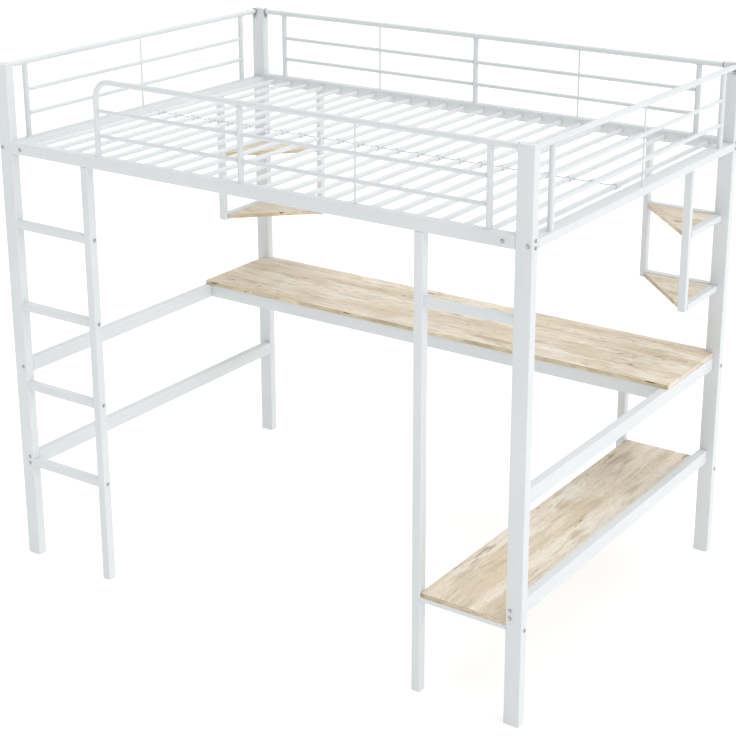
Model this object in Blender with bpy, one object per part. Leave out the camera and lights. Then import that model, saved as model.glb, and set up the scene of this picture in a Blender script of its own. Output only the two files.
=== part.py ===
"""Metal loft bed with a desk, an end ladder, a low end shelf and two corner shelf units.

The bed is a bolted frame of painted rectangular steel tube, with welded guards of round tube on
its deck and boards laid on its rails. Every separate physical piece is one named object, and the
bolts and end plugs are joined to the upright that carries them.
Units are metres. X runs along the bed, Y from its front to its back and Z up. The origin is the
centre of the footprint on the floor.
"""
import math

import bmesh
import bpy
from mathutils import Matrix, Vector

# Overall size, over the posts.
LENGTH = 2.000
WIDTH = 1.375
HEIGHT = 1.754

# Clearance between pieces that touch, and the steel's wall thicknesses.
GAP = 0.0003
WALL = 0.0010
ROUND_WALL = 0.0008
CORNER = 0.0025

# Posts: section, the plugs that close them, and the vent hole in the foot.
POST_X = 0.053
POST_Y = 0.032
POST_PLUG = 0.004
VENT_X = 0.014
VENT_D = 0.005

# Bolts: a domed head on a washer, and a shank through an upright into a rail's end plate.
BOLT_SIDES = 8
BOLT_HOLE = 0.0066
SHANK_D = 0.0056
BOLT_BITE = 0.009
WASHER_D = 0.0152
WASHER_H = 0.0009
HEAD_TOP_D = 0.0070
BOLT_PROUD = 0.0043
SHORT_BOLT = 0.014
END_PLATE = 0.002
DECK_BOLT_STEP = 0.010
LOW_BOLT_STEP = 0.012
DESK_BOLT_DROP = 0.007
DECK_FACE_BOLT = (0.908, 1.478)

# Deck: two long rails and two flat end rails between the posts.
DECK_Z = 1.500
RAIL_H = 0.040
RAIL_D = 0.030
END_RAIL_W = 0.050
END_RAIL_H = 0.025
END_RAIL_TOP = 1.489

# Middle and lower end rails, and the two desk rails: one 47 x 30 mm section.
BEAM_H = 0.047
BEAM_W = 0.030
BEAM_TOP = 0.735
LOW_BEAM_TOP = 0.388

# Boards.
BOARD_T = 0.015
DESK_FRONT = 0.297
DESK_BACK = 0.682
DESK_RAIL_SETBACK = 0.002

# Inner stiles, ladder rungs and the short cross bar.
STILE = 0.030
LADDER_STILE_X = -0.629
SHELF_STILE_X = 0.6385
RUNG_H = 0.026
RUNG_D = 0.028
RUNG_HEIGHTS = (0.355, 0.642, 0.929, 1.216)
RUNG_STUB = 0.015
CROSS_BAR_Z = 1.255
CROSS_BAR_H = 0.024

# Low shelf: flat bars under a board that lies below the lower end rail.
SHELF_BAR_H = 0.0148
SHELF_BAR_TOP = 0.3248

# Guards: round tube round each side of the deck.
GUARD_D = 0.019
GUARD_AXIS_Z = 1.742
GUARD_BARS = (1.568, 1.648)
GUARD_BAR_D = 0.013
GUARD_WIRE_D = 0.006
GUARD_LONG_X = 0.8565
GUARD_END_X = 0.9875
GUARD_END_Y = 0.566
GUARD_BEND_X = -0.574
GUARD_BEND_R = 0.055

# Guard seats: a collar on the end of a guard's top tube, and a drilled tab below it.
SEAT_OUT_R = 0.0113
SEAT_IN_R = 0.0091
SEAT_DEEP = 0.006
SEAT_PLATE = 0.0015
SEAT_ARC = (-110, 110)
SEAT_TAB = 0.0130
SEAT_BOLT_DROP = 0.0185

# Slats: round tubes across the deck, held apart by a strap of sleeves along the centre line.
SLAT_COUNT = 24
SLAT_D = 0.016
SLAT_X = 0.9038
SLAT_Z = 1.4785
SLEEVE_D = 0.0206
SLEEVE_WALL = 0.0018
SLEEVE_LENGTH = 0.034
LINK_D = 0.0036

# Corner shelf units, hung under the deck at the back: 27 x 20 mm tube and triangular boards.
HANGER_DEEP = 0.027
HANGER_WIDE = 0.020
HANGER_BOTTOM = 0.9725
HANGER_BACK_X = 0.693
HANGER_END_Y = 0.403
CORNER_BAR_TOPS = (1.2415, 0.9935)
CORNER_BOARD_SINK = 0.003

# Faces that other sizes are measured from.
POST_IN_X = LENGTH / 2 - POST_X
POST_IN_Y = WIDTH / 2 - POST_Y
POST_MID_X = LENGTH / 2 - POST_X / 2
POST_MID_Y = WIDTH / 2 - POST_Y / 2
RAIL_IN_Y = WIDTH / 2 - RAIL_D
BEAM_OUT_X = POST_IN_X + BEAM_W
BEAM_MID_X = POST_IN_X + BEAM_W / 2
BEAM_MID_Z = BEAM_TOP - BEAM_H / 2
LOW_BEAM_MID_Z = LOW_BEAM_TOP - BEAM_H / 2
DECK_MID_Z = DECK_Z - RAIL_H / 2
END_RAIL_MID_Z = END_RAIL_TOP - END_RAIL_H / 2

ENDS = (("left", -1), ("right", 1))
SIDES = (("front", -1), ("back", 1))
AXES = {"X": (1, 2, 0), "Y": (2, 0, 1), "Z": (0, 1, 2)}


def painted(name, colour, roughness, metallic=0.0):
    """A material with one Principled BSDF."""
    mat = bpy.data.materials.new(name)
    mat.use_nodes = True
    shader = mat.node_tree.nodes["Principled BSDF"]
    shader.inputs["Base Color"].default_value = (*colour, 1.0)
    shader.inputs["Roughness"].default_value = roughness
    shader.inputs["Metallic"].default_value = metallic
    return mat


def facing(axis):
    """Rotation that turns local Z to a world axis and keeps the section's sides upright."""
    turn = Matrix.Identity(3)
    for local, world in enumerate(AXES[axis]):
        for row in range(3):
            turn[row][local] = 1.0 if row == world else 0.0
    return turn.to_4x4()


def mirrored(side, near, far):
    """The range from near to far, on the side -1 or +1 of the centre plane."""
    return tuple(sorted((side * near, side * far)))


def rounded_outline(wide, high, radius, steps=2):
    """A rectangle's outline with rounded corners, centred on the origin."""
    points = []
    for k, (sx, sy) in enumerate(((1, 1), (-1, 1), (-1, -1), (1, -1))):
        for i in range(steps + 1):
            a = math.pi / 2 * (k + i / steps)
            points.append((
                sx * (wide / 2 - radius) + radius * math.cos(a),
                sy * (high / 2 - radius) + radius * math.sin(a),
            ))
    return points


def circle_outline(radius, sides):
    """A regular outline with a corner on each side of the axes."""
    angles = [2 * math.pi * (i + 0.5) / sides for i in range(sides)]
    return [(radius * math.cos(a), radius * math.sin(a)) for a in angles]


def prism(outline, length, bore=None):
    """A prism from z = 0 to z = length, open from end to end where it has a bore."""
    bm = bmesh.new()
    outer = [[bm.verts.new((x, y, z)) for x, y in outline] for z in (0, length)]
    loops = [outer]
    if bore:
        loops.append([[bm.verts.new((x, y, z)) for x, y in bore] for z in (0, length)])
    for inside, (low, high) in enumerate(loops):
        for i in range(len(low)):
            j = (i + 1) % len(low)
            face = (low[i], low[j], high[j], high[i])
            bm.faces.new(face[::-1] if inside else face)
    if bore:
        for at_top in (0, 1):
            ring, hole = outer[at_top], loops[1][at_top]
            for i in range(len(ring)):
                j = (i + 1) % len(ring)
                face = (ring[i], ring[j], hole[j], hole[i])
                bm.faces.new(face if at_top else face[::-1])
    else:
        bm.faces.new(outer[0][::-1])
        bm.faces.new(outer[1])
    return bm


def add_object(name, bm, mat, location=(0, 0, 0), axis="Z"):
    """An object with its own mesh and material, shaded smooth across its rounded edges."""
    mesh = bpy.data.meshes.new(name)
    bm.to_mesh(mesh)
    bm.free()
    mesh.shade_smooth()
    mesh.set_sharp_from_angle(angle=math.radians(40))
    obj = bpy.data.objects.new(name, mesh)
    obj.data.materials.append(mat)
    obj.matrix_world = Matrix.Translation(location) @ facing(axis)
    bpy.context.scene.collection.objects.link(obj)
    return obj


def box_section(ranges, axis):
    """The start point, width, height and length of a bar that fills the ranges along an axis."""
    u, v, along = AXES[axis]
    centre = Vector([(low + high) / 2 for low, high in ranges])
    centre[along] = ranges[along][0]
    size = [high - low for low, high in ranges]
    return centre, size[u], size[v], size[along]


def rect_tube(name, ranges, axis, mat):
    """A rectangular tube that fills the x, y and z ranges, with open ends along its axis."""
    start, wide, high, length = box_section(ranges, axis)
    bore = rounded_outline(wide - 2 * WALL, high - 2 * WALL, CORNER - WALL)
    bm = prism(rounded_outline(wide, high, CORNER), length, bore)
    return add_object(name, bm, mat, start, axis)


def plain_board(name, outline, bottom, mat):
    """A flat board with the given outline, whose underside is at the height bottom."""
    return add_object(name, prism(outline, BOARD_T), mat, (0, 0, bottom))


def rings_body(rings):
    """A closed body skinned over a row of rings that have the same number of points."""
    bm = bmesh.new()
    rows = [[bm.verts.new(point) for point in ring] for ring in rings]
    for low, high in zip(rows, rows[1:]):
        for i in range(len(low)):
            j = (i + 1) % len(low)
            bm.faces.new((low[i], low[j], high[j], high[i]))
    bm.faces.new(rows[0][::-1])
    bm.faces.new(rows[-1])
    bmesh.ops.recalc_face_normals(bm, faces=bm.faces[:])
    return bm


def combine(target, tool, operation):
    """Joins the tool to the target or cuts it away, and then removes the tool."""
    change = target.modifiers.new(operation.title(), "BOOLEAN")
    change.operation = operation
    change.solver = "EXACT"
    change.object = tool
    bpy.context.view_layer.update()
    shaped = target.evaluated_get(bpy.context.evaluated_depsgraph_get())
    result = bpy.data.meshes.new_from_object(shaped)
    target.modifiers.clear()
    old = target.data
    target.data = result
    bpy.data.meshes.remove(old)
    used = tool.data
    bpy.data.objects.remove(tool)
    bpy.data.meshes.remove(used)


def smooth(obj):
    """Shades an object smooth across its rounded edges."""
    obj.data.shade_smooth()
    obj.data.set_sharp_from_angle(angle=math.radians(40))


def drill(target, start, axis, length, diameter=BOLT_HOLE):
    """Drills a hole through the target, from the start point along an axis."""
    cutter = prism(circle_outline(diameter / 2, BOLT_SIDES), length)
    combine(target, add_object("drill", cutter, target.data.materials[0], start, axis), "DIFFERENCE")


def add_bolt(target, face, outward, shank, packing=0.0):
    """Joins a bolt to the target at a point on its face. Its head stands off by the packing."""
    turn = Vector(outward).to_track_quat("Z", "Y").to_matrix().to_4x4()
    place = Matrix.Translation(face) @ turn
    under = packing if packing else -WALL / 2
    levels = ((SHANK_D, -shank), (SHANK_D, under), (WASHER_D, under), (WASHER_D, packing + WASHER_H),
              (HEAD_TOP_D, packing + BOLT_PROUD))
    rings = [[place @ Vector((x, y, z)) for x, y in circle_outline(diameter / 2, BOLT_SIDES)]
             for diameter, z in levels]
    combine(target, add_object("bolt", rings_body(rings), target.data.materials[0]), "UNION")


def plated_tube(name, ranges, axis, bolt_lines, mat, open_low=False):
    """A rectangular tube with end plates, drilled along each bolt line from one end to the other.

    A bolt line is a pair of coordinates across the axis, in the order that AXES gives.
    """
    start, wide, high, length = box_section(ranges, axis)
    u, v, along = AXES[axis]
    obj = add_object(name, prism(rounded_outline(wide, high, CORNER), length), mat, start, axis)
    section = rounded_outline(wide - 2 * WALL, high - 2 * WALL, CORNER - WALL)
    low = -END_PLATE if open_low else END_PLATE
    inside = start.copy()
    inside[along] += low
    combine(obj, add_object("hollow", prism(section, length - END_PLATE - low), mat, inside, axis),
            "DIFFERENCE")
    for line in bolt_lines:
        begin = start.copy()
        begin[u], begin[v] = line
        begin[along] -= END_PLATE
        drill(obj, begin, axis, length + 2 * END_PLATE)
    smooth(obj)
    return obj


def weldment(name, members, mat):
    """One welded piece: every member's outside is joined first, and then every bore is cut.

    A member is a pair of functions that make its outside and, where it is a tube, its bore.
    """
    whole = members[0][0](mat)
    whole.name = name
    for outside, _ in members[1:]:
        combine(whole, outside(mat), "UNION")
    for _, bore in members:
        if bore:
            combine(whole, bore(mat), "DIFFERENCE")
    whole.data.name = name
    smooth(whole)
    return whole


def rect_member(ranges, axis, open_low=False, open_high=False, wall=WALL):
    """A rectangular tube for a weldment, whose bore runs out where the end is open."""
    start, wide, high, length = box_section(ranges, axis)
    u, v, along = AXES[axis]

    def outside(mat):
        return add_object("member", prism(rounded_outline(wide, high, CORNER), length), mat, start, axis)

    def bore(mat):
        low = -wall if open_low else wall
        reach = length + (wall if open_high else -wall) - low
        begin = start.copy()
        begin[along] += low
        section = rounded_outline(wide - 2 * wall, high - 2 * wall, CORNER - wall)
        return add_object("bore", prism(section, reach), mat, begin, axis)

    return outside, bore


def round_member(begin, end, diameter, sides, wall=ROUND_WALL, overrun=(0, 0)):
    """A straight round tube for a weldment. Its bore runs past each end by the overrun."""
    begin, end = Vector(begin), Vector(end)
    way = (end - begin).normalized()
    turn = way.to_track_quat("Z", "Y").to_matrix().to_4x4()

    def rod(name, radius, start, stop, mat):
        obj = add_object(name, prism(circle_outline(radius, sides), (stop - start).length), mat)
        obj.matrix_world = Matrix.Translation(start) @ turn
        return obj

    def outside(mat):
        return rod("member", diameter / 2, begin, end, mat)

    def bore(mat):
        return rod("bore", diameter / 2 - wall, begin - way * overrun[0], end + way * overrun[1], mat)

    return outside, (bore if wall else None)


def bent_member(points, diameter, wall, overrun):
    """A bent round tube that follows the points, and its bore, which runs out at both ends."""
    def sweep(name, radius, path, mat):
        curve = bpy.data.curves.new(name, "CURVE")
        curve.dimensions = "3D"
        curve.bevel_depth = radius
        curve.bevel_resolution = 4
        curve.use_fill_caps = True
        spline = curve.splines.new("POLY")
        spline.points.add(len(path) - 1)
        for point, place in zip(spline.points, path):
            point.co = (*place, 1.0)
        guide = bpy.data.objects.new(name + "_path", curve)
        bpy.context.scene.collection.objects.link(guide)
        bpy.context.view_layer.update()
        swept = guide.evaluated_get(bpy.context.evaluated_depsgraph_get())
        bm = bmesh.new()
        bm.from_mesh(bpy.data.meshes.new_from_object(swept))
        bmesh.ops.remove_doubles(bm, verts=bm.verts, dist=0.00001)
        bmesh.ops.recalc_face_normals(bm, faces=bm.faces)
        bpy.data.objects.remove(guide)
        bpy.data.curves.remove(curve)
        return add_object(name, bm, mat)

    def outside(mat):
        return sweep("member", diameter / 2, points, mat)

    def bore(mat):
        first = points[0] - (points[1] - points[0]).normalized() * overrun
        last = points[-1] + (points[-1] - points[-2]).normalized() * overrun
        return sweep("bore", diameter / 2 - wall, [first, *points[1:-1], last], mat)

    return outside, bore


def seat_members(place, way, inward):
    """The collar and tab on a guard tube's end: its centre, the way along the tube, and inwards."""
    place, way, inward = Vector(place), Vector(way), Vector(inward)

    def at(across, up, deep):
        return place + inward * across + Vector((0, 0, up)) + way * deep

    def collar(mat):
        first, last = [math.radians(angle) for angle in SEAT_ARC]
        section = ((SEAT_IN_R, 0), (SEAT_OUT_R, 0), (SEAT_OUT_R, SEAT_DEEP), (SEAT_IN_R, SEAT_DEEP))
        rings = []
        for k in range(11):
            a = first + (last - first) * k / 10
            rings.append([at(r * math.cos(a), r * math.sin(a), deep) for r, deep in section])
        return add_object("collar", rings_body(rings), mat)

    def tab(mat):
        half = SEAT_TAB / 2
        turns = [math.pi * (1 + i / 6) for i in range(7)]
        outline = [(half * math.cos(a), -SEAT_BOLT_DROP + half * math.sin(a)) for a in turns]
        outline += [(half, -SEAT_IN_R), (-half, -SEAT_IN_R)]
        rings = [[at(x, z, deep) for x, z in outline] for deep in (0, SEAT_PLATE)]
        return add_object("tab", rings_body(rings), mat)

    return [(collar, None), (tab, None)]


def drill_seat(guard, place, way):
    """Drills the bolt hole through a seat's tab."""
    axis = "X" if way[0] else "Y"
    start = Vector(place) - Vector((0, 0, SEAT_BOLT_DROP))
    start["XY".index(axis)] -= 2 * SEAT_PLATE
    drill(guard, start, axis, 4 * SEAT_PLATE)


def post(end, side, sx, sy, mat):
    """A corner post: a tube with plugged ends, and the bolts that clamp rails and guards to it."""
    x, y = sx * POST_MID_X, sy * POST_MID_Y
    obj = add_object(f"post_{side}_{end}", prism(rounded_outline(POST_X, POST_Y, CORNER), HEIGHT), mat,
                     (x, y, 0))
    hollow = prism(rounded_outline(POST_X - 2 * WALL, POST_Y - 2 * WALL, CORNER - WALL),
                   HEIGHT - 2 * POST_PLUG)
    combine(obj, add_object("hollow", hollow, mat, (x, y, POST_PLUG)), "DIFFERENCE")
    drill(obj, (x + VENT_X, y, -POST_PLUG), "Z", 3 * POST_PLUG, VENT_D)
    face_bolts = [(BEAM_MID_X, LOW_BEAM_MID_Z + step) for step in (-LOW_BOLT_STEP, LOW_BOLT_STEP)]
    face_bolts.append((GUARD_END_X, END_RAIL_MID_Z))
    if (side, end) == ("front", "right"):
        rail_pin(obj, (BEAM_MID_X, -POST_IN_Y - WALL / 2, BEAM_MID_Z))
    else:
        face_bolts.append((BEAM_MID_X, BEAM_MID_Z))
    for bolt_x, z in face_bolts:
        add_bolt(obj, (sx * bolt_x, sy * WIDTH / 2, z), (0, sy, 0), POST_Y + BOLT_BITE)
    side_bolts = [DECK_MID_Z - DECK_BOLT_STEP, DECK_MID_Z + DECK_BOLT_STEP]
    if side == "back":
        side_bolts.append(BEAM_MID_Z - DESK_BOLT_DROP)
    if end == "right":
        side_bolts.append(SHELF_BAR_TOP - SHELF_BAR_H / 2)
    for z in side_bolts:
        add_bolt(obj, (sx * LENGTH / 2, y, z), (sx, 0, 0), POST_X + BOLT_BITE)
    packing = SEAT_PLATE + 2 * GAP
    seat_bolt_z = GUARD_AXIS_Z - SEAT_BOLT_DROP
    add_bolt(obj, (sx * GUARD_END_X, sy * POST_IN_Y, seat_bolt_z), (0, -sy, 0), SHORT_BOLT, packing)
    if (side, end) == ("front", "left"):
        rung_stubs(obj, mat)
    else:
        add_bolt(obj, (sx * POST_IN_X, y, seat_bolt_z), (-sx, 0, 0), SHORT_BOLT, packing)
    smooth(obj)


def rail_pin(target, start):
    """The pin welded to the front right post, which the middle rail's drilled end plate slips over."""
    pin = prism(circle_outline(SHANK_D / 2, BOLT_SIDES), BOLT_BITE + WALL / 2)
    combine(target, add_object("pin", pin, target.data.materials[0], start, "Y"), "UNION")


def rung_stubs(target, mat):
    """The stubs welded to the ladder's post, over which the rungs' open ends slip."""
    fit = 2 * (WALL + GAP)
    section = rounded_outline(RUNG_D - fit, RUNG_H - fit, CORNER - WALL)
    for z in RUNG_HEIGHTS:
        stub = prism(section, RUNG_STUB + WALL / 2)
        combine(target, add_object("stub", stub, mat, (-POST_IN_X - WALL / 2, -POST_MID_Y, z), "X"), "UNION")


def frame_rails(mat):
    """The rails between the posts: deck, middle, lower and desk."""
    between_posts_x = (-POST_IN_X + GAP, POST_IN_X - GAP)
    between_posts_y = (-POST_IN_Y + GAP, POST_IN_Y - GAP)
    face_x, face_z = DECK_FACE_BOLT
    for side, sy in SIDES:
        y = sy * POST_MID_Y
        rail = plated_tube(f"deck_rail_{side}", (between_posts_x, mirrored(sy, RAIL_IN_Y, WIDTH / 2),
                                                 (DECK_Z - RAIL_H, DECK_Z)),
                           "X", [(y, DECK_MID_Z - DECK_BOLT_STEP), (y, DECK_MID_Z + DECK_BOLT_STEP)], mat)
        for sx in (-1, 1):
            add_bolt(rail, (sx * face_x, sy * WIDTH / 2, face_z), (0, sy, 0), SHORT_BOLT)
        smooth(rail)
    for end, sx in ENDS:
        beam_x, bolt_x = mirrored(sx, POST_IN_X, BEAM_OUT_X), sx * BEAM_MID_X
        plated_tube(f"deck_rail_{end}", (mirrored(sx, LENGTH / 2 - END_RAIL_W, LENGTH / 2), between_posts_y,
                                         (END_RAIL_TOP - END_RAIL_H, END_RAIL_TOP)),
                    "Y", [(END_RAIL_MID_Z, sx * GUARD_END_X)], mat)
        plated_tube(f"middle_rail_{end}", (beam_x, between_posts_y, (BEAM_TOP - BEAM_H, BEAM_TOP)),
                    "Y", [(BEAM_MID_Z, bolt_x)], mat)
        plated_tube(f"lower_rail_{end}", (beam_x, between_posts_y, (LOW_BEAM_TOP - BEAM_H, LOW_BEAM_TOP)),
                    "Y", [(LOW_BEAM_MID_Z + step, bolt_x) for step in (-LOW_BOLT_STEP, LOW_BOLT_STEP)], mat)
    desk_z = (BEAM_TOP - BEAM_H, BEAM_TOP)
    front = DESK_FRONT + DESK_RAIL_SETBACK
    rect_tube("desk_rail_front", (between_posts_x, (front, front + BEAM_W), desk_z), "X", mat)
    plated_tube("desk_rail_back", (between_posts_x, (RAIL_IN_Y, WIDTH / 2), desk_z),
                "X", [(POST_MID_Y, BEAM_MID_Z - DESK_BOLT_DROP)], mat)


def ladder(mat):
    """The ladder at the front left: an inner stile, and rungs between it and the post."""
    stile_x = (LADDER_STILE_X - STILE / 2, LADDER_STILE_X + STILE / 2)
    stile_y = (-WIDTH / 2, -WIDTH / 2 + STILE)
    stile = rect_tube("ladder_stile", (stile_x, stile_y, (0, DECK_Z - RAIL_H - GAP)), "Z", mat)
    rung_x = (-POST_IN_X + GAP, stile_x[0] - GAP)
    rung_y = (-POST_MID_Y - RUNG_D / 2, -POST_MID_Y + RUNG_D / 2)
    for number, z in enumerate(RUNG_HEIGHTS, start=1):
        rung = plated_tube(f"ladder_rung_{number}", (rung_x, rung_y, (z - RUNG_H / 2, z + RUNG_H / 2)),
                           "X", [], mat, open_low=True)
        drill(rung, (rung_x[1] - 2 * END_PLATE, -POST_MID_Y, z), "X", 3 * END_PLATE)
        add_bolt(stile, (stile_x[1], -POST_MID_Y, z), (1, 0, 0), STILE + BOLT_BITE)
    smooth(stile)


def shelf_frames(mat):
    """The two inner frames at the right, each a stile with the short bars welded to it."""
    left, right = SHELF_STILE_X - STILE / 2, SHELF_STILE_X + STILE / 2
    bar_x = (right - WALL, POST_IN_X - GAP)
    bar_z = (SHELF_BAR_TOP - SHELF_BAR_H, SHELF_BAR_TOP)
    front_y = (-WIDTH / 2, -WIDTH / 2 + STILE)
    back_y = (RAIL_IN_Y, WIDTH / 2)
    cross_y = (-WIDTH / 2 + 0.0045, -WIDTH / 2 + 0.0045 + 0.027)
    cross_z = (CROSS_BAR_Z - CROSS_BAR_H / 2, CROSS_BAR_Z + CROSS_BAR_H / 2)
    front_z = (0, DECK_Z - RAIL_H - GAP)
    back_z = (0, BEAM_TOP - BEAM_H - GAP)
    weldment("shelf_frame_front", [
        rect_member(((left, right), front_y, front_z), "Z", open_low=True, open_high=True),
        rect_member((bar_x, front_y, bar_z), "X"),
        rect_member((bar_x, cross_y, cross_z), "X", open_high=True),
    ], mat)
    weldment("shelf_frame_back", [
        rect_member(((left, right), back_y, back_z), "Z", open_low=True, open_high=True),
        rect_member((bar_x, back_y, bar_z), "X"),
    ], mat)
    for side, sy in SIDES:
        frame = bpy.data.objects[f"shelf_frame_{side}"]
        drill(frame, (POST_IN_X - 3 * WALL, sy * POST_MID_Y, SHELF_BAR_TOP - SHELF_BAR_H / 2), "X", 4 * WALL)
        smooth(frame)


def boards(mat):
    """The desk top, notched round the back posts, and the low shelf between the inner faces."""
    edge, notch_x, notch_y = BEAM_OUT_X - 0.001, POST_IN_X - GAP, POST_IN_Y - GAP
    plain_board("desk_top", [
        (-edge, DESK_FRONT), (edge, DESK_FRONT), (edge, notch_y), (notch_x, notch_y), (notch_x, DESK_BACK),
        (-notch_x, DESK_BACK), (-notch_x, notch_y), (-edge, notch_y),
    ], BEAM_TOP + GAP, mat)
    left = SHELF_STILE_X + STILE / 2 + GAP
    reach = WIDTH / 2 - 0.001
    plain_board("low_shelf", [(left, -reach), (notch_x, -reach), (notch_x, reach), (left, reach)],
                SHELF_BAR_TOP + GAP, mat)


def long_guard(name, y, start_bent, mat):
    """A guard along the front or back deck rail, in the plane at y."""
    foot, top = DECK_Z + GAP, GUARD_AXIS_Z
    uprights = [0, GUARD_LONG_X]
    first = GUARD_BEND_X if start_bent else -GUARD_LONG_X
    wires = [(0 + GUARD_LONG_X) / 2 - 0.0145]
    end = POST_IN_X - GAP
    if start_bent:
        centre = Vector((GUARD_BEND_X + GUARD_BEND_R, y, top - GUARD_BEND_R))
        arc = [centre + GUARD_BEND_R * Vector((-math.cos(a), 0, math.sin(a)))
               for a in [math.pi / 2 * i / 6 for i in range(7)]]
        path = [Vector((GUARD_BEND_X, y, foot)), *arc, Vector((end, y, top))]
        members = [bent_member(path, GUARD_D, ROUND_WALL, 0.002)]
    else:
        uprights.insert(0, first)
        wires.insert(0, -wires[0])
        members = [round_member((-end, y, top), (end, y, top), GUARD_D, 12, overrun=(0.002, 0.002))]
    for x in uprights:
        members.append(round_member((x, y, foot), (x, y, top), GUARD_D, 12, overrun=(0.002, 0)))
    for z in GUARD_BARS:
        members.append(round_member((first, y, z), (GUARD_LONG_X, y, z), GUARD_BAR_D, 8))
    for x in wires:
        members.append(round_member((x, y, foot), (x, y, top), GUARD_WIRE_D, 6, wall=0))
    inward = (0, -math.copysign(1, y), 0)
    ends = [((end, y, top), (-1, 0, 0))]
    if not start_bent:
        ends.append(((-end, y, top), (1, 0, 0)))
    for place, way in ends:
        members += seat_members(place, way, inward)
    guard = weldment(name, members, mat)
    for place, way in ends:
        drill_seat(guard, place, way)
    smooth(guard)


def end_guard(name, x, mat):
    """A guard across an end of the deck, in the plane at x."""
    foot, top = END_RAIL_TOP + GAP, GUARD_AXIS_Z
    end = POST_IN_Y - GAP
    members = [round_member((x, -end, top), (x, end, top), GUARD_D, 12, overrun=(0.002, 0.002))]
    for y in (-GUARD_END_Y, GUARD_END_Y):
        members.append(round_member((x, y, foot), (x, y, top), GUARD_D, 12, overrun=(0.002, 0)))
    for z in GUARD_BARS:
        members.append(round_member((x, -GUARD_END_Y, z), (x, GUARD_END_Y, z), GUARD_BAR_D, 8))
    members.append(round_member((x, 0, foot), (x, 0, top), GUARD_WIRE_D, 6, wall=0))
    ends = [((x, sy * end, top), (0, -sy, 0)) for _, sy in SIDES]
    for place, way in ends:
        members += seat_members(place, way, (-math.copysign(1, x), 0, 0))
    guard = weldment(name, members, mat)
    for place, way in ends:
        drill_seat(guard, place, way)
    smooth(guard)


def slats(mat):
    """The slats between the two long rails."""
    length = 2 * (RAIL_IN_Y - GAP)
    outside = circle_outline(SLAT_D / 2, 12)
    bore = circle_outline(SLAT_D / 2 - ROUND_WALL, 12)
    for number, x in enumerate(slat_places(), start=1):
        add_object(f"slat_{number:02d}", prism(outside, length, bore), mat, (x, -length / 2, SLAT_Z), "Y")


def slat_places():
    """The slats' places along X, evenly spaced."""
    step = 2 * SLAT_X / (SLAT_COUNT - 1)
    return [-SLAT_X + step * k for k in range(SLAT_COUNT)]


def slat_strap(mat):
    """A strap moulded in one piece: a sleeve round each slat, and a thin link from each to the next."""
    half = SLEEVE_LENGTH / 2
    places = slat_places()
    members = [round_member((x, -half, SLAT_Z), (x, half, SLAT_Z), SLEEVE_D, 12, wall=SLEEVE_WALL,
                            overrun=(WALL, WALL)) for x in places]
    reach = SLEEVE_D / 2 - SLEEVE_WALL / 2
    for x, after in zip(places, places[1:]):
        members.append(round_member((x + reach, 0, SLAT_Z), (after - reach, 0, SLAT_Z), LINK_D, 6, wall=0))
    weldment("slat_strap", members, mat)


def corner_units(steel, wood):
    """A hanger frame on each wall side of both back corners, and the boards between them."""
    hanger_z_back = (HANGER_BOTTOM, DECK_Z - RAIL_H - GAP)
    hanger_z_end = (HANGER_BOTTOM, END_RAIL_TOP - END_RAIL_H - GAP)
    back_y = (WIDTH / 2 - HANGER_DEEP, WIDTH / 2)
    inner_x = POST_IN_X + 0.002
    near = HANGER_BACK_X + HANGER_WIDE / 2
    for end, sx in ENDS:
        opening = "open_high" if sx > 0 else "open_low"
        hanger = rect_member((mirrored(sx, HANGER_BACK_X - HANGER_WIDE / 2, near), back_y, hanger_z_back),
                             "Z", open_high=True)
        bars = [rect_member((mirrored(sx, near - WALL, POST_IN_X - GAP), back_y, (z - HANGER_WIDE, z)),
                            "X", **{opening: True}) for z in CORNER_BAR_TOPS]
        weldment(f"corner_frame_back_{end}", [hanger, *bars], steel)
        end_x = mirrored(sx, inner_x, inner_x + HANGER_DEEP)
        front_of = HANGER_END_Y + HANGER_WIDE / 2
        hanger = rect_member((end_x, (HANGER_END_Y - HANGER_WIDE / 2, front_of), hanger_z_end), "Z",
                             open_high=True)
        bars = [rect_member((end_x, (front_of - WALL, POST_IN_Y - GAP), (z - HANGER_WIDE, z)), "Y",
                            open_high=True) for z in CORNER_BAR_TOPS]
        weldment(f"corner_frame_end_{end}", [hanger, *bars], steel)
        for level, z in zip(("upper", "lower"), CORNER_BAR_TOPS):
            corner_board(f"corner_board_{level}_{end}", sx, z - CORNER_BOARD_SINK - BOARD_T, wood)


def corner_board(name, sx, bottom, mat):
    """A triangular board inside the two frames of a corner, cut square at the post."""
    back = WIDTH / 2 - HANGER_DEEP - GAP
    outer = POST_IN_X + 0.002 - GAP
    start_x = HANGER_BACK_X + HANGER_WIDE / 2
    start_y = HANGER_END_Y + HANGER_WIDE / 2
    outline = [
        (start_x, back), (start_x, back - 0.006), (outer - 0.006, start_y), (outer, start_y),
        (outer, POST_IN_Y - GAP), (POST_IN_X - GAP, POST_IN_Y - GAP), (POST_IN_X - GAP, back),
    ]
    outline = [(sx * x, y) for x, y in outline]
    plain_board(name, outline if sx > 0 else outline[::-1], bottom, mat)


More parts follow.
